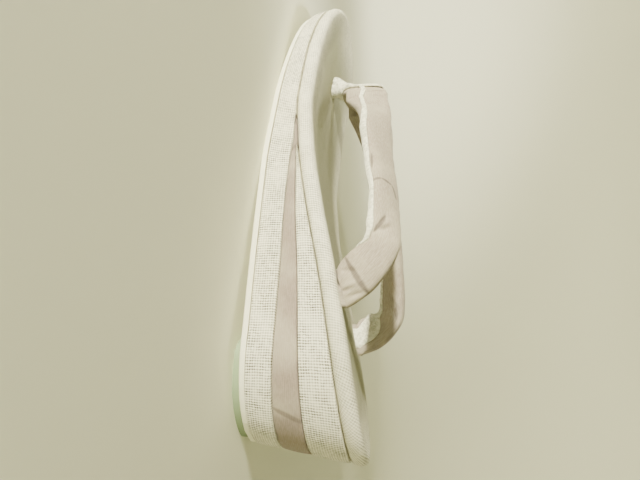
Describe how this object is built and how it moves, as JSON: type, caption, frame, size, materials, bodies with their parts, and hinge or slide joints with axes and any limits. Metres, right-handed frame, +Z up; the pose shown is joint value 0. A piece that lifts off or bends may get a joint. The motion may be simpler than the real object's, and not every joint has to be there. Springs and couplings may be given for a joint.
{
  "type": "zori sandal",
  "caption": "Wedge-soled zori sandal with a layered cloth-covered sole, padded crepe thong strap and velvet toe thong.",
  "frame": {"origin": "on the floor, under the middle of the sole's length and width", "axes": "+X towards the toe, +Y towards the wearer's left, +Z up from the floor"},
  "size_m": [0.24, 0.082, 0.0593],
  "materials": {
    "green_rubber": "matt moulded rubber",
    "cream_rubber": "smooth pale sheet rubber",
    "woven_cream": "cream cloth with a fine dotted weave",
    "mauve_crepe": "soft greyed pink crepe",
    "white_velvet": "white velvet with a short pile"
  },
  "bodies": {
    "root": {"heel_lift": "green_rubber", "outsole": "cream_rubber", "lower_layer": "woven_cream", "band_layer": "mauve_crepe", "wedge_layer": "woven_cream", "top_layer": "woven_cream", "strap": "mauve_crepe", "toe_thong": "white_velvet"}
  },
  "joints": []
}
